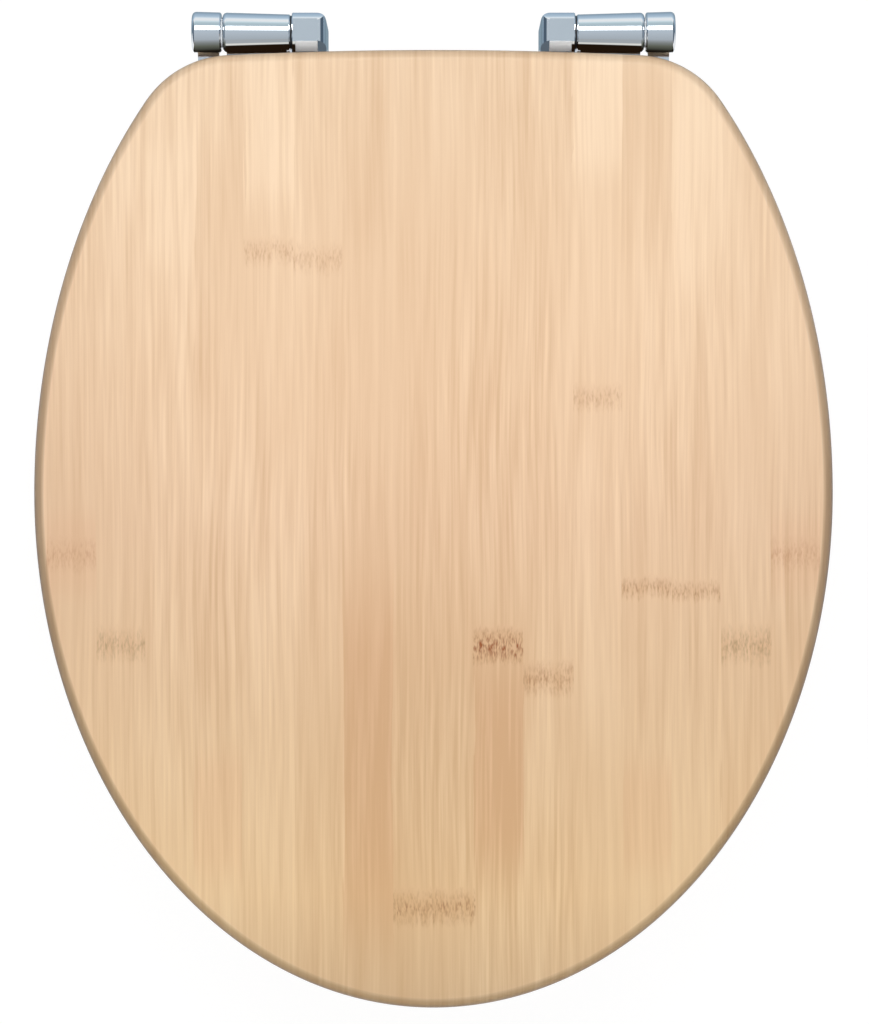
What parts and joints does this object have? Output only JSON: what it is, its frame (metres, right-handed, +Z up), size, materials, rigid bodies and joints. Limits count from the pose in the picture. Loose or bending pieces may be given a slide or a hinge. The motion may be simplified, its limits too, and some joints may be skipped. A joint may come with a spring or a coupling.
{
  "type": "toilet seat",
  "caption": "Egg-shaped wooden toilet seat with a lid, a ring with an oval opening, chromed barrel hinges and bolts for a bowl.",
  "frame": {"origin": "midway between the two mounting bolts, on the ceramic that the hinge pads stand on", "axes": "+X to the right, +Y to the back, away from the person sitting, +Z up"},
  "size_m": [0.37, 0.4667, 0.1045],
  "materials": {
    "bamboo": "satin lacquer",
    "chrome": "polished",
    "zinc_steel": "zinc plated",
    "black_plastic": "matte",
    "white_plastic": "matte",
    "grey_rubber": "matte",
    "clear_rubber": "satin"
  },
  "bodies": {
    "hinge_base": {"right_hinge_post": "chrome", "left_hinge_post": "chrome", "right_post_cover": "white_plastic", "left_post_cover": "white_plastic", "right_hinge_pin": "zinc_steel", "left_hinge_pin": "zinc_steel", "right_spacer_washer": "black_plastic", "left_spacer_washer": "black_plastic", "right_barrel_washer": "white_plastic", "left_barrel_washer": "white_plastic", "right_base_pad": "grey_rubber", "left_base_pad": "grey_rubber", "right_mounting_bolt": "zinc_steel", "left_mounting_bolt": "zinc_steel", "right_rubber_washer": "grey_rubber", "left_rubber_washer": "grey_rubber", "right_clamp_washer": "white_plastic", "left_clamp_washer": "white_plastic", "right_wing_nut": "white_plastic", "left_wing_nut": "white_plastic"},
    "seat": {"seat_ring": "bamboo", "right_seat_leaf": "chrome", "left_seat_leaf": "chrome", "right_seat_bush": "white_plastic", "left_seat_bush": "white_plastic", "right_seat_leaf_screws": "zinc_steel", "left_seat_leaf_screws": "zinc_steel", "right_front_seat_buffer": "clear_rubber", "left_front_seat_buffer": "clear_rubber", "right_rear_seat_buffer": "clear_rubber", "left_rear_seat_buffer": "clear_rubber"},
    "lid": {"lid": "bamboo", "right_lid_leaf": "chrome", "left_lid_leaf": "chrome", "right_lid_bush": "white_plastic", "left_lid_bush": "white_plastic", "right_lid_leaf_screws": "zinc_steel", "left_lid_leaf_screws": "zinc_steel", "right_lid_buffer": "clear_rubber", "left_lid_buffer": "clear_rubber"}
  },
  "joints": [
    {"name": "seat_hinge", "type": "hinge", "parent": "hinge_base", "child": "seat", "pos_m": [0, 0, 0.0305], "axis": [-1, 0, 0], "range_deg": [0, 95]},
    {"name": "lid_hinge", "type": "hinge", "parent": "seat", "child": "lid", "pos_m": [0, 0, 0.0305], "axis": [-1, 0, 0], "range_deg": [0, 95]}
  ]
}
